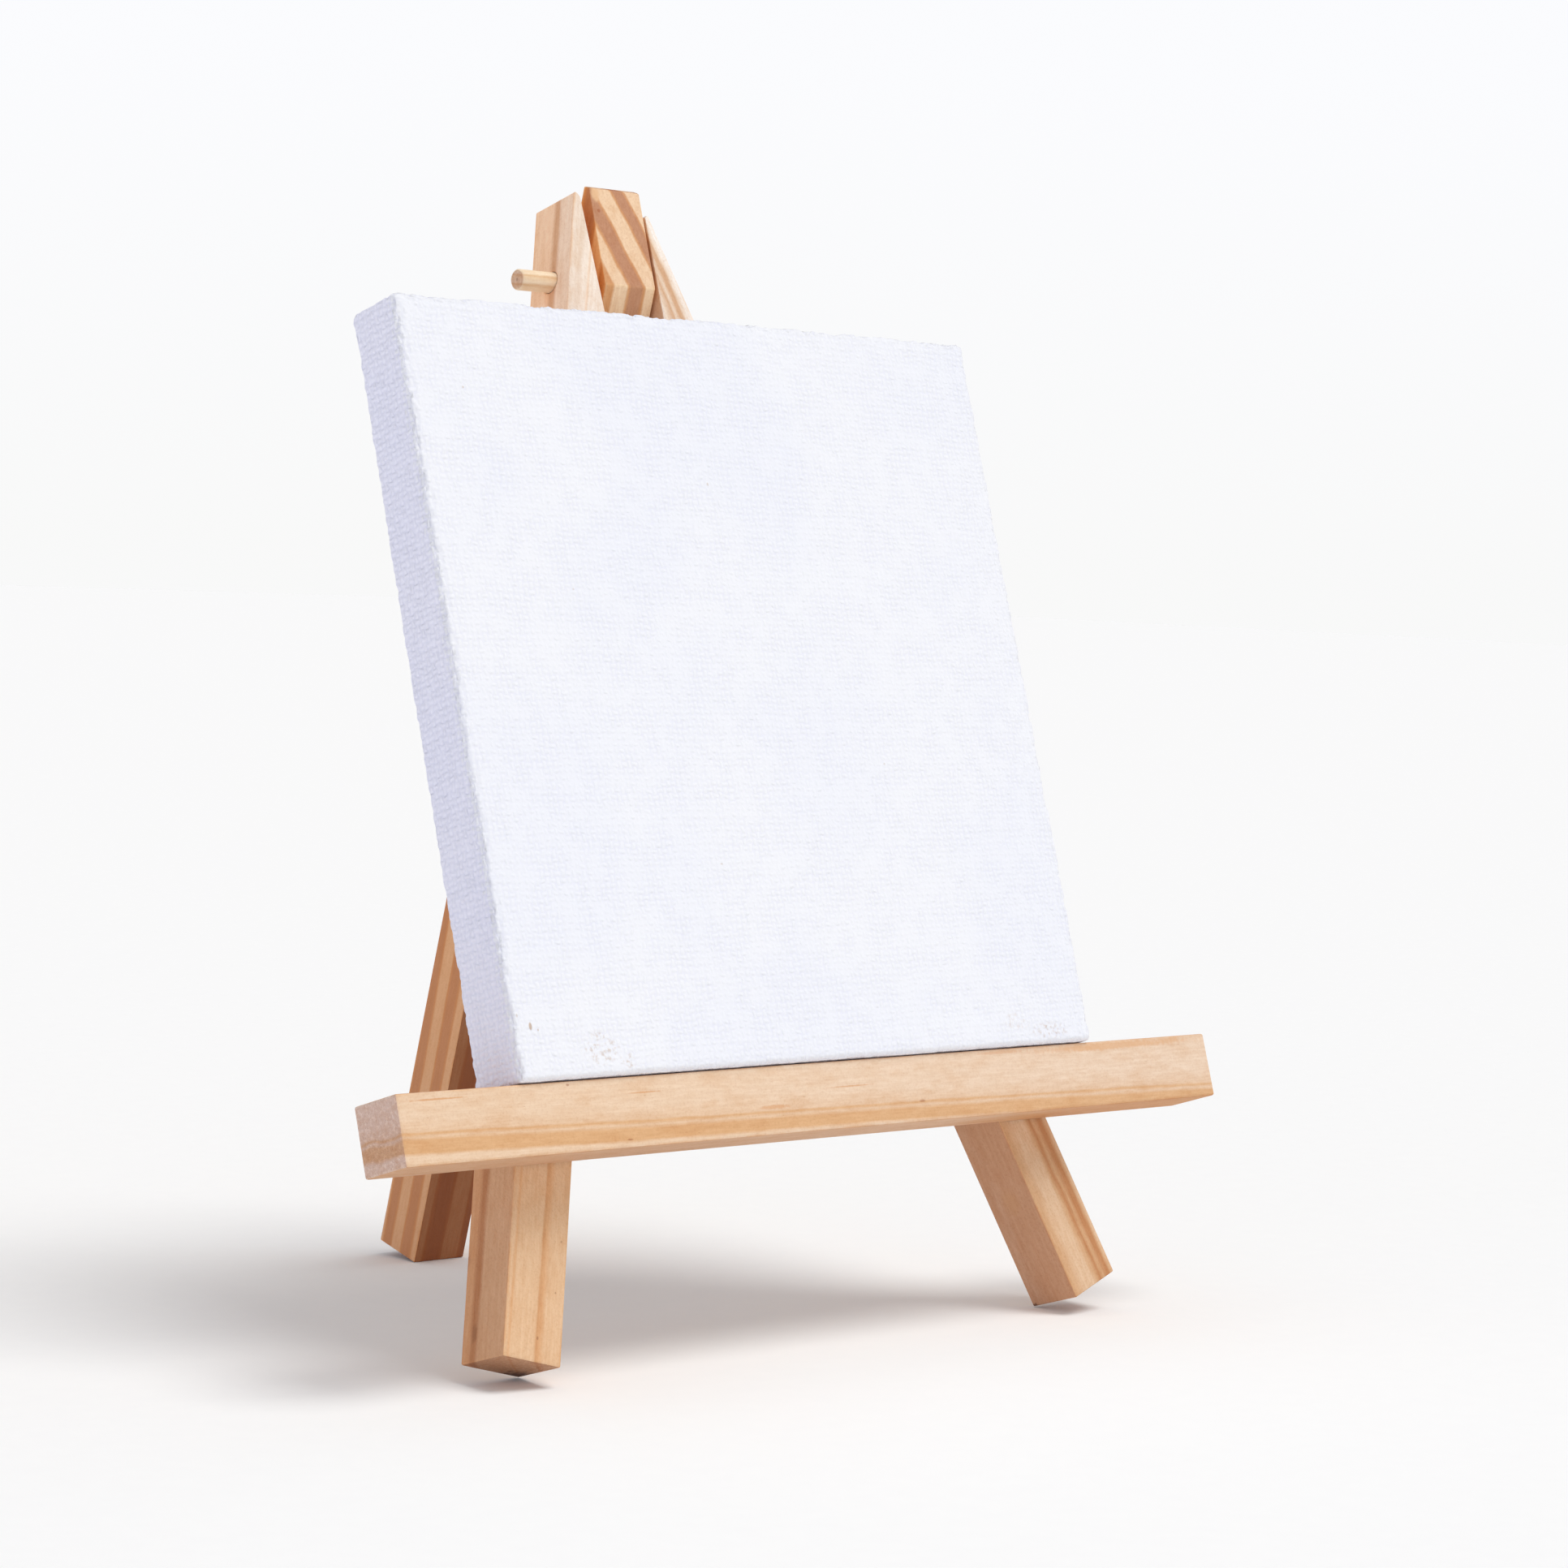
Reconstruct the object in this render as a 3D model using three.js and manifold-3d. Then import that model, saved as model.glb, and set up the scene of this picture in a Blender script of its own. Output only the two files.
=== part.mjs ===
// Tabletop display easel with a small stretched canvas. Millimetres, +Z up, the front faces -Y.
// The easel is drawn in its own leaning plane: x to the right, y up the plane, z out of its front.
// That plane's origin is the middle of the ledge's top edge, level with the front of the two front legs.
import * as THREE from 'three';
import { mergeVertices } from 'three/addons/utils/BufferGeometryUtils.js';
import Module from 'manifold-3d';

const wasm = await Module();
wasm.setup();

// Angles of the open easel
const LEAN = THREE.MathUtils.degToRad(18);        // front legs lean back from the vertical
const OPENING = THREE.MathUtils.degToRad(32);     // rear leg swung out from the front legs

// All sticks are cut from one strip
const STICK_W = 8.8;
const STICK_D = 8.4;
const GAP = 0.25;                                 // between pieces that touch

// The easel is put together by hand, so its joint and its canvas sit a little left of the ledge's middle
const JOINT_X = -4.4;
const CANVAS_X = -2.5;

// Front legs. Distances along x are from the joint's middle, outward on each leg's own side
const FOOT_LOW_Y = -33.7;                         // inner corner of each foot, which stands on the table
const MITRE_LOW_Y = 98.5;                         // where the mitred inner face ends
const LEFT_LEG = {
  side: -1,
  splay: THREE.MathUtils.degToRad(15.8),
  footX: 45.9,                                    // middle of the foot
  topY: 120.9,                                    // outer corner of the square-cut top
  mitreX: 6.2,                                    // inner face at the top
  mitreLowX: 5.0,                                 // inner face where the mitre ends
  tipChamfer: 0.45,
};
const RIGHT_LEG = {
  side: 1,
  splay: THREE.MathUtils.degToRad(19.3),
  footX: 53.5,
  topY: 118.6,
  mitreX: 4.75,
  mitreLowX: 5.05,
  tipChamfer: 0.2,
};

// Rear leg and the dowel it swings on
const PIVOT_Y = 109.15;
const REAR_TOP_Y = 121.6;
const DOWEL_R = 1.35;
const DOWEL_LEFT = -16.1;
const DOWEL_RIGHT = 11.2;
const DOWEL_SIDES = 32;
const DOWEL_CHAMFER = 0.25;
const BORE_CLEARANCE = 0.1;

// Ledge and the brads that hold it
const LEDGE_LENGTH = 142;
const BRAD_R = 0.45;
const BRAD_HEAD_R = 0.85;
const BRAD_HEAD_T = 0.4;
const BRAD_LENGTH = 14;
const BRAD_POINT = 1.2;
const BRAD_TIP_R = 0.05;
const BRAD_Y = [-2.5, -6.3];                      // heights of the two brads of one leg
const BRAD_SHIFT = 1.5;                           // each brad's distance from the leg's middle
const BRAD_SIDES = 16;
const BRAD_CLEARANCE = 0.25;

// Canvas
const CANVAS = 100;
const CANVAS_T = 9.2;
const CLOTH_T = 0.5;
const CLOTH_MARGIN = 8;                           // cloth folded onto the back of the bars
const CLOTH_CORNER = 1.2;
const BAR_W = 13;

// Staples
const STAPLE_CROWN = 6;
const STAPLE_LEG = 3.6;
const STAPLE_WIRE = 0.5;
const STAPLE_CLEARANCE = 0.25;
const STAPLE_SPREAD = 22;                         // from the middle of each side
const STAPLE_INSET = 4.2;                         // from the edge of the canvas
const CORNER_STAPLE = 39.6;                       // from the canvas's middle, on both axes

const wood = (name, color) => new THREE.MeshStandardMaterial({ name, color, roughness: 0.62, metalness: 0 });
const steel = () => new THREE.MeshStandardMaterial({ name: 'steel', color: 0xb9bbbd, roughness: 0.35, metalness: 1 });
const PINE = 0xe3bd93;
const DOWEL_WOOD = 0xe6cfa6;
const BAR_WOOD = 0xd9bd96;

// The triangles of an indexed geometry, without those that merging closed up
function trianglesOf(geometry) {
  const triangles = [];
  const index = geometry.index.array;
  for (let i = 0; i < index.length; i += 3) {
    const [a, b, c] = index.slice(i, i + 3);
    if (a !== b && b !== c && c !== a) {
      triangles.push(a, b, c);
    }
  }
  return triangles;
}

// A closed geometry as a solid that can be cut or joined
function solid(geometry) {
  const bare = geometry.clone();
  bare.deleteAttribute('normal');
  bare.deleteAttribute('uv');
  const merged = mergeVertices(bare, 1e-5);
  return new wasm.Manifold(new wasm.Mesh({
    numProp: 3,
    vertProperties: new Float32Array(merged.attributes.position.array),
    triVerts: new Uint32Array(trianglesOf(merged)),
  }));
}

// A solid back as a flat-shaded geometry
function geometryOf(body) {
  const mesh = body.getMesh();
  const geometry = new THREE.BufferGeometry();
  geometry.setAttribute('position', new THREE.BufferAttribute(new Float32Array(mesh.vertProperties), 3));
  geometry.setIndex(new THREE.BufferAttribute(new Uint32Array(mesh.triVerts), 1));
  geometry.computeVertexNormals();
  return geometry;
}

function cut(geometry, tools) {
  return geometryOf(tools.reduce((body, tool) => body.subtract(solid(tool)), solid(geometry)));
}

function add(parent, name, geometry, material) {
  const mesh = new THREE.Mesh(geometry, material);
  mesh.name = name;
  parent.add(mesh);
  return mesh;
}

// A flat outline in x and y, extruded from z = low to z = high
function plate(points, low, high, holes = []) {
  const shape = new THREE.Shape(points.map(([x, y]) => new THREE.Vector2(x, y)));
  shape.holes = holes.map((hole) => new THREE.Path(hole.map(([x, y]) => new THREE.Vector2(x, y))));
  const geometry = new THREE.ExtrudeGeometry(shape, { depth: high - low, bevelEnabled: false, curveSegments: 6 });
  return geometry.translate(0, 0, low);
}

// A bore for the dowel, along x, that reaches the given distance to both sides
function bore(reach) {
  const radius = DOWEL_R + BORE_CLEARANCE;
  return new THREE.CylinderGeometry(radius, radius, 2 * reach, DOWEL_SIDES).rotateZ(-Math.PI / 2);
}

const box = (width, height, depth, x, y, z) => new THREE.BoxGeometry(width, height, depth).translate(x, y, z);

// ---- Front legs -------------------------------------------------------------------------------
const HALF_W = STICK_W / 2;
const HALF_D = STICK_D / 2;

// Every outline point below is measured from the joint's middle, on the leg's own side
const footY = ({ splay }) => FOOT_LOW_Y + HALF_W * Math.sin(splay);
const legCentreX = (leg, y) => leg.footX - (y - footY(leg)) * Math.tan(leg.splay);

function legOutline(leg) {
  const along = new THREE.Vector2(-Math.sin(leg.splay), Math.cos(leg.splay));
  const outward = new THREE.Vector2(Math.cos(leg.splay), Math.sin(leg.splay));
  const foot = new THREE.Vector2(leg.footX, footY(leg));
  const footOuter = foot.clone().addScaledVector(outward, HALF_W);
  const footInner = foot.clone().addScaledVector(outward, -HALF_W);
  const topOuter = footOuter.clone().addScaledVector(along, (leg.topY - footOuter.y) / along.y);
  // the mitre line and where the inner edge meets it
  const mitreLow = new THREE.Vector2(leg.mitreLowX, MITRE_LOW_Y);
  const mitreDir = new THREE.Vector2(leg.mitreX - leg.mitreLowX, leg.topY - MITRE_LOW_Y).normalize();
  const meet = (origin, dir) => {
    const gap = mitreLow.clone().sub(origin);
    const t = gap.cross(mitreDir) / dir.cross(mitreDir);
    return origin.clone().addScaledVector(dir, t);
  };
  const innerStart = meet(footInner, along);
  const topInner = meet(topOuter, outward.clone().negate());
  const chamferTop = topInner.clone().addScaledVector(outward, leg.tipChamfer);
  const chamferLow = topInner.clone().addScaledVector(mitreDir, -leg.tipChamfer);
  return [footInner, footOuter, topOuter, chamferTop, chamferLow, innerStart].map((p) => [p.x, p.y]);
}

// Where a leg's two brads go, in the easel's plane
const bradSpots = (leg) => BRAD_Y.map((y, i) => {
  const shift = i ? BRAD_SHIFT : -BRAD_SHIFT;
  return [JOINT_X + leg.side * (legCentreX(leg, y) + shift), y];
});

// One brad: a flat head flush with the leg's back, a shank and a point inside the ledge
function bradProfile(extra) {
  const tip = BRAD_LENGTH + extra;
  const shank = BRAD_R + extra;
  const head = BRAD_HEAD_R + extra;
  return [[0, 0], [head, 0], [head, BRAD_HEAD_T + extra], [shank, BRAD_HEAD_T + extra],
    [shank, tip - BRAD_POINT], [BRAD_TIP_R, tip], [0, tip]].map(([r, z]) => new THREE.Vector2(r, z));
}

function bradAt([x, y], extra) {
  const geometry = new THREE.LatheGeometry(bradProfile(extra), BRAD_SIDES);
  return geometry.rotateX(Math.PI / 2).translate(x, y, -STICK_D);
}

function frontLeg(leg) {
  const points = legOutline(leg).map(([x, y]) => [JOINT_X + leg.side * x, y]);
  const outline = leg.side < 0 ? points.reverse() : points;
  const brads = bradSpots(leg).map((spot) => bradAt(spot, BRAD_CLEARANCE));
  const hole = bore(2 * STICK_W).translate(JOINT_X, PIVOT_Y, -HALF_D);
  return cut(plate(outline, -STICK_D, 0), [hole, ...brads]);
}

// ---- Rear leg, in its own frame: y up the leg, z out of its front, origin at the dowel -----------
function rearLeg(length) {
  const ridge = HALF_D * Math.tan(OPENING / 2);
  const ridgeY = PIVOT_Y + ridge * Math.cos(OPENING) - HALF_D * Math.sin(OPENING);
  const bevel = REAR_TOP_Y - ridgeY;
  const top = ridge + bevel * Math.cos(OPENING);
  const topFront = HALF_D - bevel * Math.sin(OPENING);
  const profile = [[-HALF_D, -length], [HALF_D, -length], [HALF_D, ridge], [topFront, top], [-HALF_D, top]];
  // drawn in z and y, then turned so that the extrusion runs along x
  const geometry = plate(profile, -HALF_W, HALF_W).rotateY(-Math.PI / 2);
  return cut(geometry, [bore(STICK_W)]);
}

// ---- Dowel ------------------------------------------------------------------------------------
function dowel() {
  const profile = [[0, DOWEL_LEFT], [DOWEL_R - DOWEL_CHAMFER, DOWEL_LEFT], [DOWEL_R, DOWEL_LEFT + DOWEL_CHAMFER],
    [DOWEL_R, DOWEL_RIGHT - DOWEL_CHAMFER], [DOWEL_R - DOWEL_CHAMFER, DOWEL_RIGHT], [0, DOWEL_RIGHT]];
  const geometry = new THREE.LatheGeometry(profile.map(([r, x]) => new THREE.Vector2(r, x)), DOWEL_SIDES);
  return geometry.rotateZ(-Math.PI / 2).translate(JOINT_X, PIVOT_Y, -HALF_D);
}

// ---- Ledge ------------------------------------------------------------------------------------
function ledge() {
  const bar = box(LEDGE_LENGTH, STICK_W, STICK_D, 0, -HALF_W, GAP + HALF_D);
  const brads = [LEFT_LEG, RIGHT_LEG].flatMap((leg) => bradSpots(leg).map((spot) => bradAt(spot, BRAD_CLEARANCE)));
  return cut(bar, brads);
}

// ---- Canvas, in a frame whose origin is the middle of its back ------------------------------------
const HALF = CANVAS / 2;
const BAR_BACK = CLOTH_T + GAP;
const BAR_FRONT = CANVAS_T - CLOTH_T - GAP;
const BAR_OUT = HALF - CLOTH_T - GAP;
const BAR_IN = BAR_OUT - BAR_W;

// A staple: crown along x, legs along +z, the crown's back face at z = 0
function staple(extra) {
  const half = STAPLE_CROWN / 2 + extra;
  const wire = STAPLE_WIRE + 2 * extra;
  const reach = STAPLE_WIRE + STAPLE_LEG + extra;
  const inner = half - wire;
  const low = -extra;
  const crown = STAPLE_WIRE + extra;
  const outline = [[-half, low], [half, low], [half, reach], [inner, reach], [inner, crown],
    [-inner, crown], [-inner, reach], [-half, reach]];
  return plate(outline, -wire / 2, wire / 2).rotateX(Math.PI / 2).scale(1, -1, 1);
}

// Mirroring turns the faces inside out, so each triangle is wound the other way
function flipped(geometry) {
  const indexed = geometry.index ? geometry.clone() : mergeVertices(geometry);
  const index = indexed.index.array;
  for (let i = 0; i < index.length; i += 3) {
    [index[i], index[i + 1]] = [index[i + 1], index[i]];
  }
  indexed.computeVertexNormals();
  return indexed;
}

function stapleAt({ x, y, turn, back }, extra) {
  return flipped(staple(extra)).rotateZ(turn).translate(x, y, back);
}

// Staples that hold the cloth: two on each side, lying on the folded margin
const clothStaples = [];
['bottom', 'right', 'top', 'left'].forEach((name, quarter) => {
  const turn = (quarter * Math.PI) / 2;
  [-STAPLE_SPREAD, STAPLE_SPREAD].forEach((shift, i) => {
    const spot = new THREE.Vector2(shift, -(HALF - STAPLE_INSET)).rotateAround(new THREE.Vector2(), turn);
    clothStaples.push({
      name: `cloth_staple_${name}_${i + 1}`, x: spot.x, y: spot.y, turn, back: -STAPLE_WIRE - GAP / 2,
    });
  });
});

// Staples across the four mitres, lying on the bars
const cornerStaples = [['bottom_right', 1, -1], ['top_right', 1, 1], ['top_left', -1, 1], ['bottom_left', -1, -1]]
  .map(([name, sx, sy]) => ({
    name: `corner_staple_${name}`,
    x: sx * CORNER_STAPLE,
    y: sy * CORNER_STAPLE,
    turn: (-sx * sy * Math.PI) / 4,
    back: BAR_BACK - STAPLE_WIRE - GAP / 2,
  }));
const allStaples = [...clothStaples, ...cornerStaples];

// The bottom bar; the others are the same bar turned by quarter turns
function barOutline() {
  const slack = GAP / 2;
  return [[-BAR_OUT + slack, -BAR_OUT], [BAR_OUT - slack, -BAR_OUT], [BAR_IN - slack, -BAR_IN], [-BAR_IN + slack, -BAR_IN]];
}

function bar(quarter) {
  const geometry = plate(barOutline(), BAR_BACK, BAR_FRONT).rotateZ((quarter * Math.PI) / 2);
  return cut(geometry, allStaples.map((spot) => stapleAt(spot, STAPLE_CLEARANCE)));
}

function roundedSquare(half, radius) {
  const steps = 4;
  const points = [];
  for (let corner = 0; corner < 4; corner += 1) {
    const centre = new THREE.Vector2(half - radius, half - radius)
      .rotateAround(new THREE.Vector2(), (corner * Math.PI) / 2);
    for (let i = 0; i <= steps; i += 1) {
      const angle = (corner * Math.PI) / 2 + (i / steps) * (Math.PI / 2);
      points.push([centre.x + radius * Math.cos(angle), centre.y + radius * Math.sin(angle)]);
    }
  }
  return points;
}

function cloth() {
  const outer = plate(roundedSquare(HALF, CLOTH_CORNER), 0, CANVAS_T);
  const hollow = plate(roundedSquare(HALF - CLOTH_T, CLOTH_CORNER - CLOTH_T), CLOTH_T, CANVAS_T - CLOTH_T);
  const window = 2 * (HALF - CLOTH_MARGIN);
  const mouth = box(window, window, CANVAS_T - CLOTH_T + 1, 0, 0, (CANVAS_T - CLOTH_T - 1) / 2);
  return cut(outer, [hollow, mouth, ...clothStaples.map((spot) => stapleAt(spot, STAPLE_CLEARANCE))]);
}

// ---- Assembly ---------------------------------------------------------------------------------
// The front legs' inner back corners touch the table, and so does the rear leg's front bottom edge
const floorZ = FOOT_LOW_Y * Math.cos(LEAN) - STICK_D * Math.sin(LEAN);
const pivotZ = PIVOT_Y * Math.cos(LEAN) - HALF_D * Math.sin(LEAN);
const TILT = OPENING - LEAN;                      // rear leg from the vertical
const rearLength = (pivotZ - HALF_D * Math.sin(TILT) - floorZ) / Math.cos(TILT);

const object = new THREE.Group();
const plane = new THREE.Group();
plane.rotation.x = Math.PI / 2 - LEAN;
plane.position.z = -floorZ;
object.add(plane);

add(plane, 'front_leg_left', frontLeg(LEFT_LEG), wood('front_leg_left', PINE));
add(plane, 'front_leg_right', frontLeg(RIGHT_LEG), wood('front_leg_right', PINE));
add(plane, 'pivot_dowel', dowel(), wood('pivot_dowel', DOWEL_WOOD));
add(plane, 'canvas_ledge', ledge(), wood('canvas_ledge', PINE));
[['left', LEFT_LEG], ['right', RIGHT_LEG]].forEach(([name, leg]) => {
  bradSpots(leg).forEach((spot, i) => {
    add(plane, `ledge_brad_${name}_${i + 1}`, bradAt(spot, 0), steel());
  });
});

const rear = new THREE.Group();
rear.position.set(JOINT_X, PIVOT_Y, -HALF_D);
rear.rotation.x = OPENING;
plane.add(rear);
add(rear, 'rear_leg', rearLeg(rearLength), wood('rear_leg', PINE));

const canvas = new THREE.Group();
canvas.position.set(CANVAS_X, HALF + GAP, GAP);
plane.add(canvas);
['bottom', 'right', 'top', 'left'].forEach((name, quarter) => {
  add(canvas, `stretcher_bar_${name}`, bar(quarter), wood(`stretcher_bar_${name}`, BAR_WOOD));
});
const cotton = new THREE.MeshStandardMaterial({ name: 'canvas_cloth', color: 0xf3f4f7, roughness: 0.9, metalness: 0 });
add(canvas, 'canvas_cloth', cloth(), cotton);
allStaples.forEach((spot) => {
  add(canvas, spot.name, stapleAt(spot, 0), steel());
});

// The finished part stands on z = 0 with its box's middle over the origin
object.updateMatrixWorld(true);
const bounds = new THREE.Box3().setFromObject(object, true);
plane.position.y -= (bounds.min.y + bounds.max.y) / 2;
plane.position.x -= (bounds.min.x + bounds.max.x) / 2;
plane.position.z -= bounds.min.z;
object.updateMatrixWorld(true);

export default object;
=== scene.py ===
"""Tabletop display easel of pine sticks with a small stretched canvas on its ledge."""

import logging
import math
from dataclasses import dataclass
from enum import Enum

import bmesh
import bpy
import numpy as np
from mathutils import Matrix, Vector


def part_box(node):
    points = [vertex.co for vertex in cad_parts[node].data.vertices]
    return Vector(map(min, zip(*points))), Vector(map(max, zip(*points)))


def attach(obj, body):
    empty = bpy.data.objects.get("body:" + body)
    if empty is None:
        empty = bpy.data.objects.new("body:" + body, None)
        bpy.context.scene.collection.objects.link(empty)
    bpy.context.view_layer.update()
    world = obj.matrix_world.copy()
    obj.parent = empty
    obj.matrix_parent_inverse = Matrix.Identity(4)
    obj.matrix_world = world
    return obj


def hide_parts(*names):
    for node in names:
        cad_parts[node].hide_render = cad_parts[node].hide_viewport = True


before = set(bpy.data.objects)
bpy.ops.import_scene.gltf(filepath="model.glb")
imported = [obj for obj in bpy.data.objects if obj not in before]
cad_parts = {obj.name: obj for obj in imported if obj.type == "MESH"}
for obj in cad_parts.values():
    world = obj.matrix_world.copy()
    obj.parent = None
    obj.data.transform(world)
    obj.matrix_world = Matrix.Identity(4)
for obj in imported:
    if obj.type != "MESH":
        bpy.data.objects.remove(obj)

Socket = bpy.types.NodeSocket
Triple = tuple[float, float, float]
Colour = tuple[float, float, float, float]

LOG = logging.getLogger("easel")
MM = 0.001
RIGHT = Vector((1.0, 0.0, 0.0))
# the front leans back, and the rear leg opens from it
LEAN = math.radians(18.0)
OPENING = math.radians(32.0)
# millimetres; x is to the right of the ledge's middle, y is up the front from the ledge's top
STICK_W = 8.8
STICK_D = 8.4
JOINT_X = -4.4
JOINT_Y = 109.15
CANVAS_X = -2.5
# the clearance between pieces that rest on each other
GAP = 0.25
# points nearer than this, in metres, are one
MERGE_M = 1e-6


def srgb(*levels: int) -> Colour:
    """Linear colour of an 8-bit display colour.

    Args:
        levels: Red, green and blue, 0 to 255.

    Returns:
        Linear red, green and blue with a solid alpha.
    """
    shares = [level / 255.0 for level in levels]
    return (*(share / 12.92 if share <= 0.04045 else ((share + 0.055) / 1.055) ** 2.4 for share in shares), 1.0)


@dataclass(frozen=True)
class Axes:
    """A right-handed set of axes in the row frame, with its origin in metres."""

    origin: Vector
    across: Vector
    depth: Vector
    along: Vector


class EaselPlane:
    """The leaning plane of the front legs: x right, y up the plane, z out of its front."""

    def __init__(self, low: Vector, high: Vector) -> None:
        """Finds the plane from the ledge's box.

        Args:
            low: The ledge's lowest corner, in metres.
            high: The ledge's highest corner, in metres.
        """
        self.up = Vector((0.0, math.sin(LEAN), math.cos(LEAN)))
        self.out = Vector((0.0, -math.cos(LEAN), math.sin(LEAN)))
        middle = (low + high) / 2.0
        self.origin = middle + self.up * (STICK_W / 2 * MM) - self.out * (GAP * MM + STICK_D / 2 * MM)

    def point(self, x: float, y: float, z: float) -> Vector:
        """The row-frame place of a point x to the right, y up the plane and z out of it, in millimetres."""
        return self.origin + Vector((x * MM, 0.0, 0.0)) + self.up * (y * MM) + self.out * (z * MM)

    def direction(self, x: float, y: float, z: float) -> Vector:
        """A direction of the plane's own frame, in the row frame."""
        return (Vector((x, 0.0, 0.0)) + self.up * y + self.out * z).normalized()


class Blend(Enum):
    """How one colour is laid over another."""

    MIX = "MIX"
    MULTIPLY = "MULTIPLY"


class NodeBench:
    """A node tree, with short ways to add and join its nodes."""

    def __init__(self, tree: bpy.types.NodeTree) -> None:
        """Works on a tree."""
        self.tree = tree

    def node(self, kind: str, inputs: dict | None = None, **settings: object) -> bpy.types.Node:
        """Adds a node.

        Args:
            kind: The node's type without the ShaderNode prefix.
            inputs: Values or sockets for its inputs, by name or index.
            settings: Attributes to set on the node.

        Returns:
            The new node.
        """
        made = self.tree.nodes.new("ShaderNode" + kind)
        for key, value in settings.items():
            setattr(made, key, value)
        for key, value in (inputs or {}).items():
            self.feed(made.inputs[key], value)
        return made

    def feed(self, socket: Socket, value: object) -> None:
        """Links a socket or sets a plain value on an input.

        Args:
            socket: The input.
            value: What to give it.
        """
        if isinstance(value, Socket):
            self.tree.links.new(value, socket)
        else:
            socket.default_value = value

    def math(self, operation: str, *values: object) -> Socket:
        """A math node's result for numbers or sockets."""
        return self.node("Math", dict(enumerate(values)), operation=operation).outputs[0]

    def dot(self, vector: Socket, weights: tuple) -> Socket:
        """The dot product of a vector and fixed weights."""
        return self.node("VectorMath", {0: vector, 1: weights}, operation="DOT_PRODUCT").outputs["Value"]

    def stretch(self, vector: Socket, scale: tuple) -> Socket:
        """A vector multiplied by fixed weights."""
        return self.node("VectorMath", {0: vector, 1: scale}, operation="MULTIPLY").outputs["Vector"]

    def noise(self, place: Socket, scale: float | Triple, detail: float = 2.0, rough: float = 0.5) -> Socket:
        """Noise from 0 to 1.

        Args:
            place: The place.
            scale: Its scale, as one number or one in each direction.
            detail: How many finer layers it has.
            rough: How strong they are.

        Returns:
            The noise.
        """
        if isinstance(scale, tuple):
            place, scale = self.stretch(place, scale), 1.0
        inputs = {"Vector": place, "Scale": scale, "Detail": detail, "Roughness": rough}
        return self.node("TexNoise", inputs).outputs[0]

    def smooth(self, value: object, low: float, high: float, start: float = 0.0, end: float = 1.0) -> Socket:
        """A smooth step from start to end, as a value goes from low to high."""
        return self.node("MapRange", {0: value, 1: low, 2: high, 3: start, 4: end},
                         interpolation_type="SMOOTHSTEP").outputs[0]

    def mix(self, share: object, first: object, second: object, blend: Blend = Blend.MIX) -> Socket:
        """Two colours mixed by a share."""
        made = self.node("Mix", {0: share, 6: first, 7: second}, data_type="RGBA", blend_type=blend.value)
        return made.outputs[2]

    def toned(self, colour: object, share: object, tone: Triple) -> Socket:
        """A colour with a share of a tone multiplied in."""
        return self.mix(share, colour, (*tone, 1.0), Blend.MULTIPLY)

    def bump(self, strength: float, deep: float, height: Socket) -> Socket:
        """A bump of a height, so many millimetres deep."""
        return self.node("Bump", {"Strength": strength, "Distance": deep * MM, "Height": height}).outputs[0]

    def away(self, place: Socket, centre: Triple, size: Triple) -> Socket:
        """How far a place is from a centre.

        Args:
            place: The place.
            centre: The centre.
            size: What counts as one away in each direction.

        Returns:
            The distance.
        """
        offset = self.node("VectorMath", {0: place, 1: centre}, operation="SUBTRACT").outputs[0]
        scaled = self.stretch(offset, tuple(1.0 / length for length in size))
        return self.node("VectorMath", {0: scaled}, operation="LENGTH").outputs["Value"]

    def ramp(self, value: Socket, stops: list) -> Socket:
        """A colour ramp.

        Args:
            value: Where on the ramp, 0 to 1.
            stops: Pairs of position and colour, in order.

        Returns:
            The ramp's colour.
        """
        made = self.node("ValToRGB", {0: value})
        band = made.color_ramp
        band.elements[0].position, band.elements[0].color = stops[0]
        band.elements[1].position, band.elements[1].color = stops[-1]
        for position, colour in stops[1:-1]:
            band.elements.new(position).color = colour
        return made.outputs[0]

    def place(self, axes: Axes) -> Socket:
        """Places in a stick's own axes, in millimetres.

        Args:
            axes: The stick's axes.

        Returns:
            A vector of across, depth and along.
        """
        turn = Matrix((axes.across, axes.depth, axes.along))
        shift = -(turn @ axes.origin) / MM
        mapped = self.node("Mapping", {"Vector": self.node("TexCoord").outputs["Object"], "Location": shift,
                                       "Rotation": turn.to_euler(), "Scale": (1 / MM,) * 3})
        return mapped.outputs[0]


class MaterialBench(NodeBench):
    """The node tree of a new material."""

    def __init__(self, name: str) -> None:
        """Starts a material with only a shader and an output.

        Args:
            name: The material's name.
        """
        self.material = bpy.data.materials.new(name)
        self.material.use_nodes = True
        super().__init__(self.material.node_tree)
        self.tree.nodes.clear()
        self.shader = self.node("BsdfPrincipled")
        self.tree.links.new(self.shader.outputs[0], self.node("OutputMaterial").inputs[0])

    def finished(self, inputs: dict[str, object]) -> bpy.types.Material:
        """Feeds the shader and hands over the material.

        Args:
            inputs: Values or sockets for the shader's inputs, by name.

        Returns:
            The finished material.
        """
        for name, value in inputs.items():
            self.feed(self.shader.inputs[name], value)
        return self.material


# what the colour of pine is multiplied by
FIBRE_TONE = (0.945, 0.915, 0.885)
BLOTCH_TONE = (0.93, 0.85, 0.77)
MOTTLE_DEEP = (0.975, 0.95, 0.92)
MOTTLE_PALE = (1.02, 1.03, 1.035)
PORE_TONE = (0.84, 0.74, 0.66)
DASH_TONE = (0.74, 0.56, 0.42)
PIT_TONE = (0.87, 0.81, 0.78)
CORNER_TONE = (0.95, 0.76, 0.56)
# how far the saw's scratches turn from the fibres, in radians
SAW_TURN = 0.8
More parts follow.
